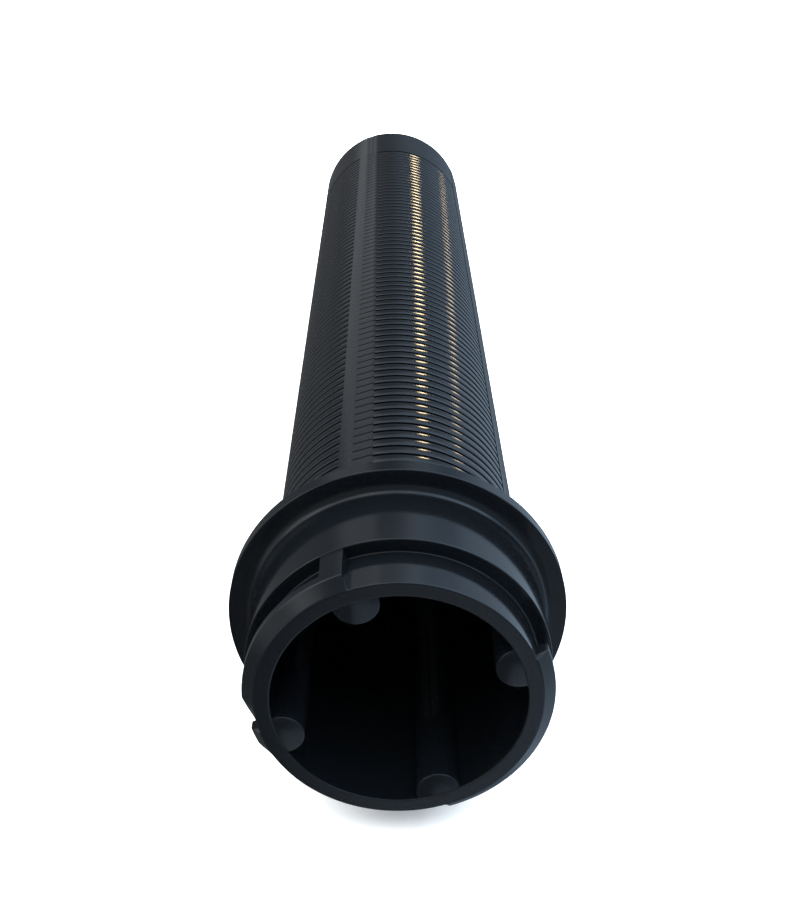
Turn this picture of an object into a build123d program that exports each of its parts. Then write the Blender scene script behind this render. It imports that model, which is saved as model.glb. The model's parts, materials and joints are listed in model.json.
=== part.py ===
"""Slotted lateral arm of a sand filter: one moulding in black polypropylene.

Water passes the fine ring slots of the tube and leaves through the open mouth.
The mouth is a spigot with two bayonet lugs, a sealing neck and a stop flange.

The moulding is drawn on its own axis. The mouth's rim lies at z = 0 and looks
up, so what lies at station s, counted from the rim, is at z = -s. Clock angles
run clockwise from the top, seen by someone who looks into the mouth.
"""

import os
from math import asin, atan2, cos, degrees, radians, sin

from build123d import *

# Tube
length = 191.7
tube_od = 32.0
wall = 1.6
end_wall = 2.4
end_edge = 0.5

# Mouth, from the rim to the back of the flange
spigot_wall = 1.75
neck_step = 1.65
neck_start = 6.0
flange_ledge = 2.9
flange_start = 16.2
flange_t = 2.1
flange_root = 1.2

# Bayonet lugs on the spigot, and the stops that join them to the neck
lug_h = 1.45
lug_t = 2.45
lug_chamfer = 1.2
lug_end = 160.0
lug_span = 92.0
stop_span = 9.8
short_lug_span = 65.0
ramp_span = 15.0
nib_h = 1.2
nib_gap = 1.5
nib_span = 8.0
nib_ramp_span = 8.5

# Round-nosed ribs inside the tube, each with a plain strip outside
rib_count = 4
rib_w = 4.9
rib_first = 70.5
rib_recess = 0.3
nose_inset = 0.55
strip_rise = 0.1

# Slots. The moulding has a ring every 2.115 mm; every third slot is drawn.
ring_pitch = 2.115
slots_drawn_every = 3
slot_outer_w = 1.45
slot_inner_w = 0.45
slot_overcut = 0.3
front_land = 1.07
back_land = 16.5

tube_r = tube_od / 2
bore_r = tube_r - wall
mid_wall_r = (bore_r + tube_r) / 2
strip_r = tube_r + strip_rise
spigot_r = bore_r + spigot_wall
spigot_root_r = (bore_r + spigot_r) / 2
neck_r = spigot_r + neck_step
flange_r = neck_r + flange_ledge
flange_end = flange_start + flange_t
lug_r = spigot_r + lug_h
nib_r = spigot_r + nib_h
nose_r = rib_w / 2
nose_at = bore_r - nose_inset
half_turn = 180.0


def clock(radius, angle):
    """Point at a radius and a clock angle on the plane of the rim."""
    return (radius * sin(radians(angle)), radius * cos(radians(angle)))


def arc(radius, start, end):
    """Arc about the axis from one clock angle to another."""
    middle = (start + end) / 2
    return ThreePointArc(clock(radius, start), clock(radius, middle), clock(radius, end))


def revolved(points):
    """Solid of revolution of a closed outline of (radius, station) corners."""
    outline = Polyline([(r, 0, -s) for r, s in points], close=True)
    return revolve(make_face(outline), Axis.Z)


def plate(edges, s_start, s_end):
    """Flat plate of a closed plan outline, between two stations."""
    face = make_face(Wire(edges))
    return Pos(0, 0, -s_end) * extrude(face, amount=s_end - s_start, dir=(0, 0, 1))


def sector(radius, start, end, s_start, s_end):
    """Plate between two clock angles that runs into the spigot's wall."""
    edges = [
        arc(radius, start, end),
        Line(clock(radius, end), clock(spigot_root_r, end)),
        arc(spigot_root_r, end, start),
        Line(clock(spigot_root_r, start), clock(radius, start)),
    ]
    return plate(edges, s_start, s_end)


def ramped(radius, start, full, end, s_start, s_end):
    """Sector whose outside rises from the spigot at start to its full radius."""
    edges = [
        Line(clock(spigot_r, start), clock(radius, full)),
        arc(radius, full, end),
        Line(clock(radius, end), clock(spigot_root_r, end)),
        arc(spigot_root_r, end, start),
        Line(clock(spigot_root_r, start), clock(spigot_r, start)),
    ]
    return plate(edges, s_start, s_end)


def shell():
    """Closed tube with its flange, neck and spigot, turned round the axis."""
    depth = length - end_wall
    return revolved([
        (bore_r, 0),
        (spigot_r, 0),
        (spigot_r, neck_start),
        (neck_r, neck_start),
        (neck_r, flange_start - flange_root),
        (neck_r + flange_root, flange_start),
        (flange_r, flange_start),
        (flange_r, flange_end),
        (tube_r, flange_end),
        (tube_r, length - end_edge),
        (tube_r - end_edge, length),
        (0, length),
        (0, depth),
        (bore_r, depth),
    ])


def slots():
    """Wedge grooves through the wall, wide outside and narrow at the bore."""
    taper = (slot_outer_w - slot_inner_w) / wall / 2
    narrow = slot_inner_w / 2 - taper * slot_overcut
    wide = slot_outer_w / 2 + taper * slot_overcut
    inner, outer = bore_r - slot_overcut, tube_r + slot_overcut
    wedge = revolved([(inner, -narrow), (outer, -wide), (outer, wide), (inner, narrow)])
    pitch = ring_pitch * slots_drawn_every
    first = flange_end + front_land + slot_outer_w / 2
    last = length - back_land - slot_outer_w / 2
    count = int((last - first) / pitch) + 1
    return [Pos(0, 0, -first - i * pitch) * wedge for i in range(count)]


def ribs():
    """Ribs with a round nose in the bore and a plain strip on the outside."""
    mid_angle = degrees(asin(nose_r / mid_wall_r))
    strip_angle = degrees(asin(nose_r / strip_r))
    nose = [
        ThreePointArc((-nose_r, nose_at), (0, nose_at - nose_r), (nose_r, nose_at)),
        Line((nose_r, nose_at), clock(mid_wall_r, mid_angle)),
        arc(mid_wall_r, mid_angle, -mid_angle),
        Line(clock(mid_wall_r, -mid_angle), (-nose_r, nose_at)),
    ]
    strip = [
        arc(strip_r, -strip_angle, strip_angle),
        Line(clock(strip_r, strip_angle), clock(mid_wall_r, mid_angle)),
        arc(mid_wall_r, mid_angle, -mid_angle),
        Line(clock(mid_wall_r, -mid_angle), clock(strip_r, -strip_angle)),
    ]
    rib = plate(nose, rib_recess, length - end_wall / 2)
    rib += plate(strip, flange_end - flange_t / 2, length - end_edge)
    return [Rot(0, 0, -rib_first - i * 360 / rib_count) * rib for i in range(rib_count)]


def lugs():
    """Two bayonet lugs, a nib and two stops, behind one turned lead-in."""
    other_end = lug_end + half_turn
    short_start = other_end - short_lug_span - ramp_span
    nib_end = short_start - nib_gap
    nib_full = nib_end - nib_span
    plan = sector(lug_r, lug_end - lug_span, lug_end, 0, lug_t)
    plan += ramped(lug_r, short_start, short_start + ramp_span, other_end, 0, lug_t)
    plan += ramped(nib_r, nib_full - nib_ramp_span, nib_full, nib_end, 0, lug_t)
    lead_in = revolved([(0, 0), (spigot_r, 0), (lug_r, lug_chamfer), (lug_r, lug_t), (0, lug_t)])
    made = plan & lead_in
    for end in (lug_end, other_end):
        made += sector(lug_r, end - stop_span, end, lug_chamfer, neck_start)
    return made


def lateral():
    """The whole moulding on its own axis."""
    return shell() - slots() + ribs() + lugs()


def resting(body):
    """Place where the moulding lies on its flange and far end, mouth towards -Y."""
    lean = degrees(atan2(flange_r - tube_r, length - end_edge - flange_end))
    turned = Rot(90 - lean, 0, 0)
    box = (turned * body).bounding_box()
    return Pos(-box.center().X, -box.center().Y, -box.min.Z) * turned


moulding = lateral()
place = resting(moulding)
part = place * moulding
part.label = "slotted_lateral"

os.makedirs("parts", exist_ok=True)
export_step(part, "parts/slotted_lateral.step")
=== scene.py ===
"""Slotted lateral of a sand filter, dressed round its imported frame.

Lengths are held in metres and written in millimetres. A point of the moulding
has a station, counted from the mouth's rim along the axis, and a clock angle,
counted clockwise from the top by someone who looks into the mouth.
"""

import json
import math

import bpy
import numpy as np
from bpy.props import FloatProperty, FloatVectorProperty, IntProperty, PointerProperty
from bpy.types import Operator, Panel, PropertyGroup
from mathutils import Matrix


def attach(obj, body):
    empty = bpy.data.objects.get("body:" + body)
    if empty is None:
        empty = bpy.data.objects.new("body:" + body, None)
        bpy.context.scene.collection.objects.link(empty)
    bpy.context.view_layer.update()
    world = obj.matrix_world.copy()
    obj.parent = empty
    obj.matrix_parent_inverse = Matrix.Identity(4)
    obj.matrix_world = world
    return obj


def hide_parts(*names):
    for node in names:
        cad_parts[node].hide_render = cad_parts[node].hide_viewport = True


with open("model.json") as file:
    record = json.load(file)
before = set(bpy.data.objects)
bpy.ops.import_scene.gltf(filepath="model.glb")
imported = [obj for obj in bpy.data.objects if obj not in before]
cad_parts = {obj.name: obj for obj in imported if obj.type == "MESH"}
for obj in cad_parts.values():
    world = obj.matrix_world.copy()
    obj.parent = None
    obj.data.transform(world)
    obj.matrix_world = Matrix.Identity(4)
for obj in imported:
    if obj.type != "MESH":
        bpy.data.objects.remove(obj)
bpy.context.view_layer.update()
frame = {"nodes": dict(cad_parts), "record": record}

bl_info = {
    "name": "Slotted filter lateral",
    "version": (1, 0, 0),
    "blender": (4, 5, 0),
    "location": "3D View > Sidebar > Lateral",
    "description": "Builds a moulded lateral arm with ring slots and a bayonet mouth",
    "category": "Add Mesh",
}

MM = 0.001
NODE = "slotted_lateral"
BODY = "root"

# Points all round the axis, and points across a crest, a strip and a rib's nose.
MOUTH_POINTS = 480
RING_POINTS = 96
END_POINTS = 180
CREST_POINTS = 11
STRIP_POINTS = 25
NOSE_POINTS = 25

# The mouth has more points beside the ends of the lugs. They reach this many
# times the span of such an end's rise, to both sides of it.
SIDE_POINTS = 11
SIDE_REACH = 1.25

mounts = {mount["name"]: mount for mount in frame["record"]["mounts"]}
NECK = mounts["spigot_neck"]

# The moulding's own axes in the row: across, up, and out of the mouth.
OUT = np.array(NECK["axis"]) / np.linalg.norm(NECK["axis"])
ACROSS = np.array([1.0, 0.0, 0.0])
UP = np.cross(OUT, ACROSS)


def measured():
    """Rim's centre, length and largest radius, read from the frame's own points."""
    mesh = frame["nodes"][NODE].data
    points = np.empty(len(mesh.vertices) * 3, np.float32)
    mesh.vertices.foreach_get("co", points)
    offset = points.reshape(-1, 3).astype(float) - np.array(NECK["pos_m"])
    along = offset @ OUT
    radius = np.hypot(offset @ ACROSS, offset @ UP)
    return np.array(NECK["pos_m"]) + OUT * along.max(), np.ptp(along), radius.max()


RIM, LENGTH, FLANGE_R = measured()


def linear(code):
    """Linear colour of an sRGB hex code, by the sRGB curve."""
    level = np.array([int(code[start:start + 2], 16) for start in (1, 3, 5)]) / 255
    return tuple(np.where(level <= 0.04045, level / 12.92, ((level + 0.055) / 1.055) ** 2.4))


def size(name, description, millimetres, least=0):
    """Length property, given in millimetres, as is its least value."""
    return FloatProperty(
        name=name, description=description, default=millimetres * MM,
        min=least * MM, subtype="DISTANCE", unit="LENGTH", precision=5,
    )


def turn(name, description, degrees):
    """Angle property, given in degrees."""
    return FloatProperty(
        name=name, description=description, default=math.radians(degrees),
        subtype="ANGLE", unit="ROTATION",
    )


def share(name, description, value):
    """Plain number from 0 to 1."""
    return FloatProperty(name=name, description=description, default=value, min=0, max=1)


def number(name, description, value):
    """Plain number of any size, not below 0."""
    return FloatProperty(name=name, description=description, default=value, min=0)


def colour(name, description, code):
    """Colour property, given as an sRGB hex code."""
    return FloatVectorProperty(
        name=name, description=description, default=linear(code),
        size=3, min=0, max=1, subtype="COLOR",
    )


class LateralSizes(PropertyGroup):
    """Sizes of the moulding."""

    tube_od: size("Tube", "Diameter over the rings", 32.0)
    wall: size("Wall", "Wall of the tube", 1.6)
    end_wall: size("End wall", "Thickness of the closed end", 2.4)
    end_edge: size("End edge", "Easing of the closed end's edge", 0.5)
    spigot_wall: size("Spigot wall", "Wall of the spigot", 1.75)
    neck_start: size("Neck start", "Station of the neck's front face", 6.0)
    flange_start: size("Flange start", "Station of the flange's front face", 16.2)
    flange_t: size("Flange", "Thickness of the flange", 2.1)
    flange_root: size("Flange root", "Easing between neck and flange", 1.3)
    edge: size("Edges", "Easing of the moulded edges", 0.14)
    root: size("Roots", "Easing of the inner corners", 0.4)

    lug_h: size("Lug", "Height of the bayonet lugs over the spigot", 1.45)
    lug_t: size("Lug thickness", "Station of the lugs' back face", 2.45)
    lug_lead: size("Lug lead-in", "Length of the lugs' sloping front", 1.2)
    lug_end: turn("Lug end", "Clock angle of the closed end of the long lug", 160)
    lug_span: turn("Lug span", "Span of the long lug", 92)
    short_lug_span: turn("Short lug", "Span of the short lug at its full height", 70.2)
    ramp_span: turn("Ramp", "Span of the short lug's ramp", 13.2)
    stop_span: turn("Stop", "Span of the stop that joins a lug to the neck", 9.8)
    nib_h: size("Nib", "Height of the nib beside the short lug", 1.2)
    nib_gap: turn("Nib gap", "Gap between the short lug and its nib", 1.5)
    nib_span: turn("Nib span", "Span of the nib at its full height", 8)
    nib_ramp_span: turn("Nib ramp", "Span of the nib's ramp", 13)
    step_span: turn("Step", "Span over which a lug's end face rises", 0.4)

    rib_count: IntProperty(name="Ribs", description="Ribs inside the tube", default=4, min=1)
    rib_w: size("Rib", "Width of a rib", 5.2)
    strip_w: size("Strip", "Width of a strip outside a rib", 4.6)
    strip_rise: size("Strip rise", "Rise of a strip over the rings", 0.05)
    rib_first: turn("First rib", "Clock angle of the first rib", 70.5)
    rib_recess: size("Rib recess", "Depth of the ribs' ends behind the rim", 0.15)
    nose_inset: size("Rib nose", "Depth of the nose's centre inside the bore", 0.4)

    ring_pitch: size("Ring pitch", "Distance from ring to ring", 2.115)
    ring_count: IntProperty(name="Rings", description="Rings of the tube", default=73, min=1)
    first_crest: size("First ring", "Station of the middle of the first ring's crest", 21.5)
    crest_w: size("Crest", "Width of a ring's crowned crest", 1.6)
    crest_crown: size("Crown", "Rise of a crest's middle over its edges", 0.09)
    slot_inner_w: size("Slot", "Width of a slot at the bore", 0.35)
    groove_w: size("Groove", "Width of the grooves across a strip", 0.34)
    groove_depth: size("Groove depth", "Depth of the grooves across a strip", 0.3)
    plain_share: share("Plain share", "Share of a strip's width that has no grooves", 0.22)
    fade_share: share("Fade share", "Share over which the grooves reach their depth", 0.3)
    sink_depth: size("Sink", "Depth of the valley that shrinking leaves along a strip", 0.07)
    sink_place: share("Sink place", "Valley's middle, in half widths from the strip's own", 0.25)
    sink_reach: share("Sink reach", "Half of the valley's width, in half widths of a strip", 0.6)


class LateralFinish(PropertyGroup):
    """Finish of the moulding."""

    plastic: colour("Plastic", "Black pigmented polypropylene", "#080B0E")
    roughness: share("Roughness", "Roughness of the moulded skin", 0.12)
    ior: FloatProperty(name="IOR", description="Refractive index", default=1.49, min=1, max=2)
    skin_scale: size("Skin", "Size of the soft waves that cooling leaves in the skin", 2.2)
    skin_depth: size("Skin depth", "Depth of those waves", 0.008)


class LateralStage(PropertyGroup):
    """Camera, light and floor."""

    camera_across: size("Camera across", "Right of the axis", -1.388, least=-1000)
    camera_up: size("Camera height", "Above the axis", 89.377)
    camera_out: size("Camera distance", "In front of the rim", 106.76)
    pitch: turn("Pitch", "Angle by which the camera looks down on the axis", 28.366)
    yaw: turn("Yaw", "Angle by which it looks to the right", 0.717)
    roll: turn("Roll", "Turn of the camera about its own view", -0.34)
    lens: number("Lens", "Focal length in millimetres", 48.956)
    sensor_w: number("Sensor", "Width of the camera's sensor in millimetres", 36)

    floor_colour: colour("Floor", "Pale floor", "#F4F6F6")
    floor_glow: share("Floor glow", "The floor's own light, which softens the shadow", 0.3)
    floor_side: size("Floor size", "Side of the floor", 9000)

    lamp_up: size("Lamp height", "Height of the wide lamp over the floor", 1600)
    lamp_back: size("Lamp place", "Distance of the wide lamp behind the part's middle", 200)
    lamp_side: size("Lamp size", "Side of the wide lamp", 3600)
    lamp_power: number("Lamp power", "Power of the wide lamp in watts", 190)
    warm_reach: size("Warm lamps", "Distance of the warm lamps from the part", 1300)
    warm_light: colour("Warm light", "Light of a tungsten lamp", "#FFE2B0")


def placed(across, up, station):
    """Row points of arrays of distances across and up from the axis, and stations."""
    across, up, station = np.broadcast_arrays(across, up, station)
    return RIM + across[..., None] * ACROSS + up[..., None] * UP - station[..., None] * OUT


def clock(radius, angle, station):
    """Row points: radius times the clock angle's sine across and its cosine up."""
    return placed(radius * np.sin(angle), radius * np.cos(angle), station)


def all_round(count):
    """Clock angles of a whole turn."""
    return np.linspace(0, math.tau, count, endpoint=False)


def solid(name, grid):
    """Object with a closed skin on a grid of copies by rows by columns of points.

    Each point joins the next in its row and the one below it, and the last joins
    the first both ways. Points that fall together become one, which closes the
    poles. Six times the volume is the sum, over the triangles, of one corner
    times the cross product of the other two: where it is negative, the faces
    are turned round. Edges that turn by more than the sharp angle stay sharp.
    """
    weld = 0.002 * MM
    sharp = math.radians(40)
    index = np.arange(grid[..., 0].size).reshape(grid.shape[:3])
    right = np.roll(index, -1, axis=2)
    below = np.roll(index, -1, axis=1)
    faces = np.stack([index, right, np.roll(right, -1, axis=1), below], axis=-1).reshape(-1, 4)
    points = grid.reshape(-1, 3)
    _, first, same = np.unique(
        np.round(points / weld), axis=0, return_index=True, return_inverse=True,
    )
    points, faces = points[first], same.reshape(-1)[faces]
    repeated = faces == np.roll(faces, -1, axis=1)
    crossed = (faces[:, 0] == faces[:, 2]) | (faces[:, 1] == faces[:, 3])
    quads = faces[~repeated.any(axis=1) & ~crossed]
    corners = (repeated.sum(axis=1) == 1) & ~crossed
    triangles = faces[corners][~repeated[corners]].reshape(-1, 3)
    halves = np.concatenate([quads[:, [0, 1, 2]], quads[:, [0, 2, 3]], triangles])
    one, other, last = (points[corner] - points.mean(axis=0) for corner in halves.T)
    if (one * np.cross(other, last)).sum() < 0:
        quads = quads[:, ::-1]
        triangles = triangles[:, ::-1]
    mesh = bpy.data.meshes.new(name)
    mesh.from_pydata(points.tolist(), [], quads.tolist() + triangles.tolist())
    mesh.shade_smooth()
    mesh.set_sharp_from_angle(angle=sharp)
    made = bpy.data.objects.new(name, mesh)
    bpy.context.scene.collection.objects.link(made)
    return made


def eased(corners, edges):
    """Closed outline, (..., corners, 2), with its corners eased.

    A corner gives way to a parabola, whose ends lie an edge's length away on
    both sides, or the largest share of a short side, and whose control point is
    the corner itself. A point just outside each end keeps the flats beside it
    flat in the shading.
    """
    steps = 3
    largest_share = 0.35
    outside = 1.3
    edges = np.asarray(edges)[:, None]
    before = np.roll(corners, 1, axis=-2) - corners
    after = np.roll(corners, -1, axis=-2) - corners
    run_in = np.linalg.norm(before, axis=-1, keepdims=True)
    run_out = np.linalg.norm(after, axis=-1, keepdims=True)
    before, after = before / run_in, after / run_out
    cut_in = np.minimum(edges, largest_share * run_in)
    cut_out = np.minimum(edges, largest_share * run_out)
    start = corners + before * cut_in
    end = corners + after * cut_out
    curve = [
        (1 - along) ** 2 * start + 2 * along * (1 - along) * corners + along ** 2 * end
        for along in np.linspace(0, 1, steps + 1)
    ]
    first = corners + before * cut_in * outside
    last = corners + after * cut_out * outside
    outline = np.stack([first, *curve, last], axis=-2)
    return outline.reshape(*corners.shape[:-2], -1, 2)


def window(angle, start, end, rise, fall):
    """One between two clock angles and nothing outside, with its rise and fall inside them."""
    return np.clip((angle - start) / rise, 0, 1) * np.clip((end - angle) / fall, 0, 1)


def radii(sizes):
    """Radius over the rings, and radius of the bore."""
    return sizes.tube_od / 2, sizes.tube_od / 2 - sizes.wall


def rib_angles(sizes):
    """Clock angles of the ribs, which are those of the strips too."""
    return sizes.rib_first + math.tau / sizes.rib_count * np.arange(sizes.rib_count)


def slot_ends(sizes):
    """Stations of the first slot's front edge and of the last slot's back edge, outside."""
    reach = sizes.ring_pitch - sizes.crest_w / 2
    last_crest = sizes.first_crest + (sizes.ring_count - 1) * sizes.ring_pitch
    return sizes.first_crest - reach, last_crest + reach


def slot_taper(sizes):
    """Distance along the axis by which a slot's wall leans over the tube's wall."""
    return (sizes.ring_pitch - sizes.slot_inner_w - sizes.crest_w) / 2


def add(tree, kind, settings=None, **links):
    """Node of a kind with its settings and input values or links."""
    node = tree.nodes.new(kind)
    for name, value in (settings or {}).items():
        setattr(node, name, value)
    for name, value in links.items():
        socket = node.inputs[name.replace("_", " ")]
        if isinstance(value, bpy.types.NodeSocket):
            tree.links.new(value, socket)
        else:
            socket.default_value = value
    return node


def ramp(tree, value, start, end, low=0.0, high=1.0):
    """Soft ramp of a value, from low at start to high at end."""
    node = add(tree, "ShaderNodeMapRange", {"interpolation_type": "SMOOTHSTEP"}, Value=value,
               From_Min=start, From_Max=end, To_Min=low, To_Max=high)
    return node.outputs["Result"]


def calculated(tree, operation, *values):
    """Result of a sum on one or two values."""
    node = add(tree, "ShaderNodeMath", {"operation": operation})
    for socket, value in zip(node.inputs, values):
        if isinstance(value, bpy.types.NodeSocket):
            tree.links.new(value, socket)
        else:
            socket.default_value = value
    return node.outputs["Value"]


def moulded_polypropylene():
    """Black polypropylene as it leaves a polished mould.

    Carbon black leaves almost no colour of its own, so the skin shows little
    more than soft mirror images of what stands round it. Uneven cooling leaves
    shallow waves, which break the edges of those images.
    """
    name = "Black moulded polypropylene"
    if name in bpy.data.materials:
        return bpy.data.materials[name]
    finish = bpy.context.scene.lateral_finish
    material = bpy.data.materials.new(name)
    material.use_nodes = True
    tree = material.node_tree
    shader = tree.nodes["Principled BSDF"]
    shader.inputs["Base Color"].default_value = (*finish.plastic, 1)
    shader.inputs["Roughness"].default_value = finish.roughness
    shader.inputs["IOR"].default_value = finish.ior
    place = add(tree, "ShaderNodeTexCoord")
    waves = add(tree, "ShaderNodeTexNoise", Vector=place.outputs["Object"],
                Scale=1 / finish.skin_scale, Detail=2.0, Roughness=0.5)
    bump = add(tree, "ShaderNodeBump", Height=waves.outputs["Fac"], Distance=finish.skin_depth,
               Strength=1.0)
    tree.links.new(bump.outputs["Normal"], shader.inputs["Normal"])
    return material


def dressed(made):
    """The piece gets its plastic and its place in the frame."""
    made.data.materials.append(moulded_polypropylene())
    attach(made, BODY)
    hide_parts(NODE)
    return made


class LATERAL_OT_mouth_fitting(Operator):
    """Spigot with lugs, nib and stops, neck, flange and the land before the slots"""

    bl_idname = "lateral.mouth_fitting"
    bl_label = "Mouth fitting"

    def execute(self, context):
        sizes = context.scene.lateral_sizes
        tube_r, bore_r = radii(sizes)
        spigot_r = bore_r + sizes.spigot_wall
        neck_r = NECK["dims"]["r_mm"] * MM
        lug_r = spigot_r + sizes.lug_h
        nib_r = spigot_r + sizes.nib_h
        lug_back = sizes.lug_t + sizes.edge / 2
        flange_end = sizes.flange_start + sizes.flange_t
        slots_start = slot_ends(sizes)[0]
        slot_edge = sizes.edge / 3

        def outline(front_r, back_r):
            """Corners (station, radius), with the radii at a lug's front and behind it."""
            return [
                (0, bore_r),
                (0, spigot_r),
                (sizes.lug_lead, front_r),
                (sizes.lug_t, front_r),
                (lug_back, back_r),
                (sizes.neck_start, back_r),
                (sizes.neck_start, neck_r),
                (sizes.flange_start, neck_r),
                (sizes.flange_start, FLANGE_R),
                (flange_end, FLANGE_R),
                (flange_end, tube_r),
                (slots_start, tube_r),
                (slots_start + slot_taper(sizes), bore_r),
            ]

        edges = [sizes.edge] * 7
        edges += [sizes.flange_root, sizes.edge, sizes.edge, sizes.root, slot_edge, slot_edge]

        # Outlines of the plain spigot, of a lug, of a lug with its stop, and of the nib.
        forms = eased(np.array([
            outline(spigot_r, spigot_r),
            outline(lug_r, spigot_r),
            outline(lug_r, lug_r),
            outline(nib_r, spigot_r),
        ]), edges)

        other_end = sizes.lug_end + math.pi
        short_full = other_end - sizes.short_lug_span
        short_start = short_full - sizes.ramp_span
        nib_end = short_start - sizes.nib_gap
        nib_start = nib_end - sizes.nib_span - sizes.nib_ramp_span
        long_start = sizes.lug_end - sizes.lug_span
        stops = (sizes.lug_end - sizes.stop_span, other_end - sizes.stop_span)
        step = sizes.step_span
        sides = [long_start, sizes.lug_end, other_end, *stops]
        sides += [short_start, short_full, nib_end, nib_start]
        beside = np.linspace(-SIDE_REACH, SIDE_REACH, SIDE_POINTS) * step
        close = np.add.outer(sides, beside).ravel()
        angle = np.unique(np.concatenate([all_round(MOUTH_POINTS), close]))

        # Each clock angle mixes the outlines: a lug and the nib rise from the
        # plain spigot, and a stop takes the place of the lug's own outline.
        lug = window(angle, long_start, sizes.lug_end, step, step)
        lug = lug + window(angle, short_start, other_end, sizes.ramp_span, step)
        stop = window(angle, stops[0], sizes.lug_end, step, step)
        stop = stop + window(angle, stops[1], other_end, step, step)
        nib = window(angle, nib_start, nib_end, sizes.nib_ramp_span, step)
        shares = np.stack([1 - lug - nib, lug - stop, stop, nib], axis=-1)
        station, radius = np.moveaxis(np.tensordot(shares, forms, axes=1), -1, 0)
        dressed(solid("mouth_fitting", clock(radius, angle[:, None], station)[None]))
        return {"FINISHED"}


class LATERAL_OT_rings(Operator):
    """Rings of the slotted tube, gently crowned outside and a little broader at the bore"""

    bl_idname = "lateral.rings"
    bl_label = "Rings"

    def execute(self, context):
        sizes = context.scene.lateral_sizes
        tube_r, bore_r = radii(sizes)
        crest = np.linspace(-math.pi / 2, math.pi / 2, CREST_POINTS)
        crest_r = tube_r - sizes.crest_crown * (1 - np.cos(crest))
        foot = (sizes.ring_pitch - sizes.slot_inner_w) / 2
        station = np.concatenate([sizes.crest_w / 2 * np.sin(crest), [foot, -foot]])
        radius = np.concatenate([crest_r, [bore_r, bore_r]])
        centre = sizes.first_crest + sizes.ring_pitch * np.arange(sizes.ring_count)
        angle = all_round(RING_POINTS)
        grid = clock(radius, angle[None, :, None], centre[:, None, None] + station)
        dressed(solid("slot_rings", grid))
        return {"FINISHED"}


class LATERAL_OT_strips(Operator):
    """Plain strips that tie the rings together, with shallow grooves where the slots fade"""

    bl_idname = "lateral.strips"
    bl_label = "Strips"

    def execute(self, context):
        sizes = context.scene.lateral_sizes
        tube_r = radii(sizes)[0]
        strip_r = tube_r + sizes.strip_rise
        inner_r = tube_r - sizes.wall / 2
        half = math.asin(sizes.strip_w / 2 / strip_r)

        # A groove is a V with points at its bottom, halfway up and at its edges.
        # A point this far outside an edge keeps the flat beside it flat.
        outside = 1.2
        groove = np.array([-outside, -1, -0.5, 0, 0.5, 1, outside]) * sizes.groove_w / 2
        slots = sizes.first_crest + sizes.ring_pitch * (np.arange(sizes.ring_count + 1) - 0.5)
        station = np.concatenate([
            [sizes.flange_start + sizes.flange_t / 2],
            np.add.outer(slots, groove).ravel(),
            [LENGTH - sizes.end_edge * outside, LENGTH - sizes.end_edge],
        ])

        # Across a strip, the places run from -1 at one side to 1 at the other.
        across = np.linspace(-1, 1, STRIP_POINTS)
        nearest = np.abs(station[:, None] - slots).min(axis=1)
        valley = np.clip(1 - nearest / (sizes.groove_w / 2), 0, 1)
        fade = np.clip(((across + 1) / 2 - sizes.plain_share) / sizes.fade_share, 0, 1)
        sink = np.clip(1 - ((across - sizes.sink_place) / sizes.sink_reach) ** 2, 0, 1) ** 2
        relief = sizes.sink_depth * sink + sizes.groove_depth * valley[:, None] * fade
        inner = np.full((len(station), 2), inner_r)
        radius = np.concatenate([strip_r - relief, inner], axis=1)
        angle = np.concatenate([across, [1, -1]]) * half

        # Both ends of a strip draw together in one point, which closes them.
        point = np.full((1, radius.shape[1]), (strip_r + inner_r) / 2)
        radius = np.concatenate([point, radius, point])
        station = np.concatenate([station[:1], station, station[-1:]])
        spread = np.ones(len(radius))
        spread[[0, -1]] = 0
        centre = rib_angles(sizes)[:, None, None]
        grid = clock(radius, centre + spread[:, None] * angle, station[:, None])
        dressed(solid("plain_strips", grid))
        return {"FINISHED"}


class LATERAL_OT_ribs(Operator):
    """Round-nosed ribs that carry the rings inside the tube"""

    bl_idname = "lateral.ribs"
    bl_label = "Ribs"

    def execute(self, context):
        sizes = context.scene.lateral_sizes
        bore_r = radii(sizes)[1]
        root_r = bore_r + sizes.wall / 2
        half = sizes.rib_w / 2
        nose_at = bore_r - sizes.nose_inset
        nose = np.linspace(-math.pi / 2, math.pi / 2, NOSE_POINTS)
        across = np.concatenate([half * np.sin(nose), [half, half, 0, -half, -half]])
        root = [bore_r, root_r, root_r, root_r, bore_r]
        up = np.concatenate([nose_at - half * np.cos(nose), root])

        # The section keeps its full size between the ends. At the front it draws
        # in over the edge's length, and both ends close in one point.
        edge = sizes.edge
        front = sizes.rib_recess
        back = LENGTH - sizes.end_wall / 2
        station = np.array([front, front, front + edge / 3, front + edge, back, back])
        kept = np.array([0, 1 - edge / half, 1 - edge / half / 3, 1, 1, 0])[:, None]
        middle = (nose_at + root_r) / 2
        across = kept * across
        up = middle + kept * (up - middle)
        centre = rib_angles(sizes)[:, None, None]
        grid = placed(
            across * np.cos(centre) + up * np.sin(centre),
            up * np.cos(centre) - across * np.sin(centre),
            station[:, None],
        )
        dressed(solid("inner_ribs", grid))
        return {"FINISHED"}


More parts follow.
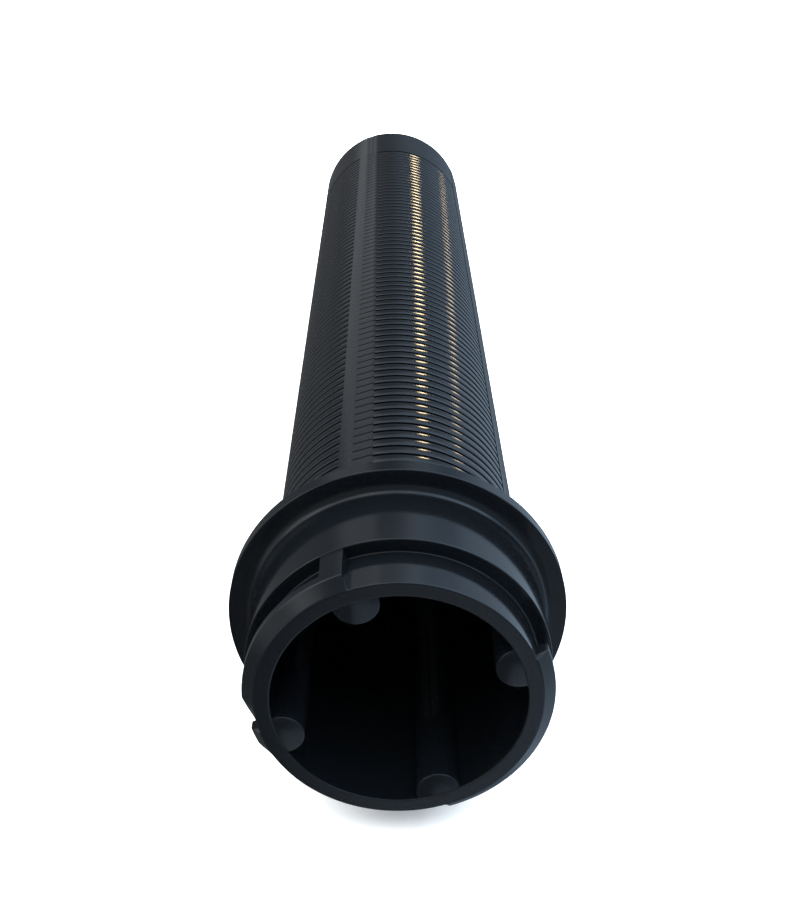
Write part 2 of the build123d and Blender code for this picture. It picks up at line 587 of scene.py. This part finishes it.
class LATERAL_OT_far_end(Operator):
    """Closed end of the tube behind the last slot"""

    bl_idname = "lateral.far_end"
    bl_label = "Far end"

    def execute(self, context):
        sizes = context.scene.lateral_sizes
        tube_r, bore_r = radii(sizes)
        slots_end = slot_ends(sizes)[1]
        slot_edge = sizes.edge / 3
        inside = LENGTH - sizes.end_wall
        corners = np.array([
            (inside, 0),
            (inside, bore_r),
            (slots_end - slot_taper(sizes), bore_r),
            (slots_end, tube_r),
            (LENGTH, tube_r),
            (LENGTH, 0),
        ])
        edges = [0, sizes.root, slot_edge, slot_edge, sizes.end_edge, 0]
        station, radius = eased(corners, edges).T
        angle = all_round(END_POINTS)
        dressed(solid("closed_end", clock(radius, angle[:, None], station)[None]))
        return {"FINISHED"}


class LATERAL_OT_stage(Operator):
    """Pale floor, soft studio light and the camera"""

    bl_idname = "lateral.stage"
    bl_label = "Stage"

    def execute(self, context):
        stage = context.scene.lateral_stage
        self.floor(stage)
        self.surroundings()
        self.lamps(stage)
        self.camera(stage)
        context.scene.view_settings.view_transform = "Standard"
        return {"FINISHED"}

    def floor(self, stage):
        """Flat square under the part. The part mirrors the surroundings and not the floor."""
        half = stage.floor_side / 2
        corners = [(-half, -half, 0), (half, -half, 0), (half, half, 0), (-half, half, 0)]
        mesh = bpy.data.meshes.new("floor")
        mesh.from_pydata(corners, [], [(0, 1, 2, 3)])
        made = bpy.data.objects.new("floor", mesh)
        bpy.context.scene.collection.objects.link(made)
        made.visible_glossy = False
        material = bpy.data.materials.new("Matt white paper")
        material.use_nodes = True
        shader = material.node_tree.nodes["Principled BSDF"]
        shader.inputs["Base Color"].default_value = (*stage.floor_colour, 1)
        shader.inputs["Roughness"].default_value = 1.0
        shader.inputs["Specular IOR Level"].default_value = 0.0
        shader.inputs["Emission Color"].default_value = (*stage.floor_colour, 1)
        shader.inputs["Emission Strength"].default_value = stage.floor_glow
        mesh.materials.append(material)

    def surroundings(self):
        """Room as the part mirrors it: dim, with glows to the right, high up and at the sides.

        It is drawn on directions, whose x runs to the right, y away from the
        camera and z up. A ramp runs softly from 0 to 1 between two values of one
        of them. A glow is its strength times the ramps of the region it lies in.
        """
        world = bpy.data.worlds.new("Studio")
        bpy.context.scene.world = world
        world.use_nodes = True
        tree = world.node_tree
        background = tree.nodes["Background"]
        place = add(tree, "ShaderNodeTexCoord")
        x, y, z = add(tree, "ShaderNodeSeparateXYZ", Vector=place.outputs["Generated"]).outputs
        width = calculated(tree, "ABSOLUTE", x)

        near_right = ramp(tree, x, -0.12, 0.02)
        right = ramp(tree, x, -0.04, 0.18)
        far_right = ramp(tree, x, 0.35, 0.8)
        side = ramp(tree, width, 0.25, 0.5)
        left = ramp(tree, x, -0.10, -0.20)
        not_far_left = ramp(tree, x, -0.45, -0.34)
        far_left = ramp(tree, x, -0.55, -0.80)
        front = ramp(tree, y, 0.2, -0.5)
        behind = ramp(tree, y, -0.6, -0.2)
        low = ramp(tree, z, -0.4, -0.65)
        level = ramp(tree, z, -0.35, 0.0)
        raised = ramp(tree, z, 0.04, 0.15)
        lifted = ramp(tree, z, 0.15, 0.35)
        upper = ramp(tree, z, 0.35, 0.46)
        high = ramp(tree, z, 0.47, 0.58)
        top = ramp(tree, z, 0.6, 0.95)

        dim = 0.06
        glows = {
            "back of the room": (0.05, behind),
            "right half": (0.12, right),
            "low in front": (0.34, front, low, near_right),
            "in front": (0.18, front, level),
            "ceiling": (0.45, behind, high),
            "edge of the ceiling at the right": (0.38, behind, upper, right),
            "overhead": (0.60, behind, top),
            "both sides": (0.03, behind, side),
            "right side": (0.52, behind, side, right),
            "ceiling at the far right": (0.60, behind, high, far_right),
            "upright band at the left": (0.25, behind, left, not_far_left, raised),
            "far left": (0.30, level, far_left),
            "upper far left": (0.65, lifted, far_left),
        }
        total = dim
        for name, (strength, *region) in glows.items():
            for factor in region:
                strength = calculated(tree, "MULTIPLY", strength, factor)
            strength.node.label = name
            total = calculated(tree, "ADD", total, strength)

        # The room is nearly neutral at the left and bluish at the right.
        red = ramp(tree, x, -0.3, 0.3, 0.93, 0.58)
        green = ramp(tree, x, -0.3, 0.3, 0.96, 0.77)
        tint = add(tree, "ShaderNodeCombineColor", Red=red, Green=green, Blue=1.0)
        tree.links.new(tint.outputs["Color"], background.inputs["Color"])
        tree.links.new(total, background.inputs["Strength"])

    def lamps(self, stage):
        """Wide lamp for the floor, and two narrow warm ones that light the rings alone."""
        place = (0, stage.lamp_back, stage.lamp_up)
        square = (stage.lamp_side, stage.lamp_side)
        white = linear("#FFFFFF")
        self.lamp("overhead", place, (0, 0, 0), square, stage.lamp_power, white, glossy=False)
        self.warm(
            stage, "warm_lamp", direction=(0.199, 0.935, 0.292),
            across=75 * MM, tall=150 * MM, power=0.53,
        )
        self.warm(
            stage, "side_lamp", direction=(0.39, 0.915, 0.085),
            across=60 * MM, tall=100 * MM, power=0.13,
        )

    def warm(self, stage, name, direction, across, tall, power):
        """Warm lamp in a direction from the origin, turned to the part and linked to the rings."""
        middle = (0, 0, 20 * MM)
        place = stage.warm_reach * np.array(direction) / np.linalg.norm(direction)
        made = self.lamp(name, place, middle, (across, tall), power, stage.warm_light, glossy=True)
        lit = bpy.data.collections.new(name + "_receivers")
        lit.objects.link(bpy.data.objects["slot_rings"])
        made.light_linking.receiver_collection = lit

    def lamp(self, name, place, target, sides, power, light_colour, glossy):
        """Rectangular lamp that looks from a place at a target.

        Its first side lies level. One that hangs nearly overhead has it along X.
        """
        light = bpy.data.lights.new(name, "AREA")
        light.shape = "RECTANGLE"
        light.size, light.size_y = sides
        light.energy = power
        light.color = light_colour
        made = bpy.data.objects.new(name, light)
        bpy.context.scene.collection.objects.link(made)
        made.visible_glossy = glossy
        made.visible_camera = False
        back = np.array(place) - np.array(target)
        back = back / np.linalg.norm(back)
        overhead = abs(back[2]) > 0.99
        side = np.array([1.0, 0, 0]) if overhead else np.cross([0, 0, 1], back)
        side = side / np.linalg.norm(side)
        made.matrix_world = pose(side, np.cross(back, side), back, place)
        return made

    def camera(self, stage):
        """Camera of the photograph, set in the moulding's own axes.

        It is turned by its yaw and its pitch, and then about its own view.
        """
        own = np.array([ACROSS, UP, OUT])
        yaw, pitch, roll = stage.yaw, stage.pitch, stage.roll
        level = math.cos(pitch)
        back = np.array([-math.sin(yaw) * level, math.sin(pitch), math.cos(yaw) * level]) @ own
        flat_side = np.array([math.cos(yaw), 0, math.sin(yaw)]) @ own
        flat_top = np.cross(back, flat_side)
        side = math.cos(roll) * flat_side - math.sin(roll) * flat_top
        top = math.sin(roll) * flat_side + math.cos(roll) * flat_top
        place = placed(stage.camera_across, stage.camera_up, -stage.camera_out)
        camera = bpy.data.cameras.new("camera")
        camera.lens = stage.lens
        camera.sensor_width = stage.sensor_w
        camera.clip_start = 5 * MM
        made = bpy.data.objects.new("camera", camera)
        bpy.context.scene.collection.objects.link(made)
        made.matrix_world = pose(side, top, back, place)
        bpy.context.scene.camera = made


def pose(side, top, back, place):
    """Matrix of an object whose X, Y and Z point along side, top and back."""
    turned = Matrix(np.array([side, top, back]).T.tolist()).to_4x4()
    turned.translation = tuple(place)
    return turned


class LATERAL_PT_parts(Panel):
    """Buttons for the pieces and the stage, and the sizes behind them."""

    bl_idname = "LATERAL_PT_parts"
    bl_label = "Slotted lateral"
    bl_space_type = "VIEW_3D"
    bl_region_type = "UI"
    bl_category = "Lateral"

    def draw(self, context):
        for operator in OPERATORS:
            self.layout.operator(operator.bl_idname)
        scene = context.scene
        for group in (scene.lateral_sizes, scene.lateral_finish, scene.lateral_stage):
            box = self.layout.box()
            for name in group.__annotations__:
                box.prop(group, name)


GROUPS = (LateralSizes, LateralFinish, LateralStage)
OPERATORS = (
    LATERAL_OT_mouth_fitting,
    LATERAL_OT_rings,
    LATERAL_OT_strips,
    LATERAL_OT_ribs,
    LATERAL_OT_far_end,
    LATERAL_OT_stage,
)


def register():
    """Registers the classes and hangs the settings on the scene."""
    for made in (*GROUPS, *OPERATORS, LATERAL_PT_parts):
        bpy.utils.register_class(made)
    bpy.types.Scene.lateral_sizes = PointerProperty(type=LateralSizes)
    bpy.types.Scene.lateral_finish = PointerProperty(type=LateralFinish)
    bpy.types.Scene.lateral_stage = PointerProperty(type=LateralStage)


def unregister():
    """Takes the settings off the scene and the classes out."""
    del bpy.types.Scene.lateral_sizes
    del bpy.types.Scene.lateral_finish
    del bpy.types.Scene.lateral_stage
    for made in reversed((*GROUPS, *OPERATORS, LATERAL_PT_parts)):
        bpy.utils.unregister_class(made)


def main():
    """Builds every piece and the stage, with the settings hung on the scene."""
    register()
    bpy.ops.lateral.mouth_fitting()
    bpy.ops.lateral.rings()
    bpy.ops.lateral.strips()
    bpy.ops.lateral.ribs()
    bpy.ops.lateral.far_end()
    bpy.ops.lateral.stage()


if __name__ == "__main__":
    main()
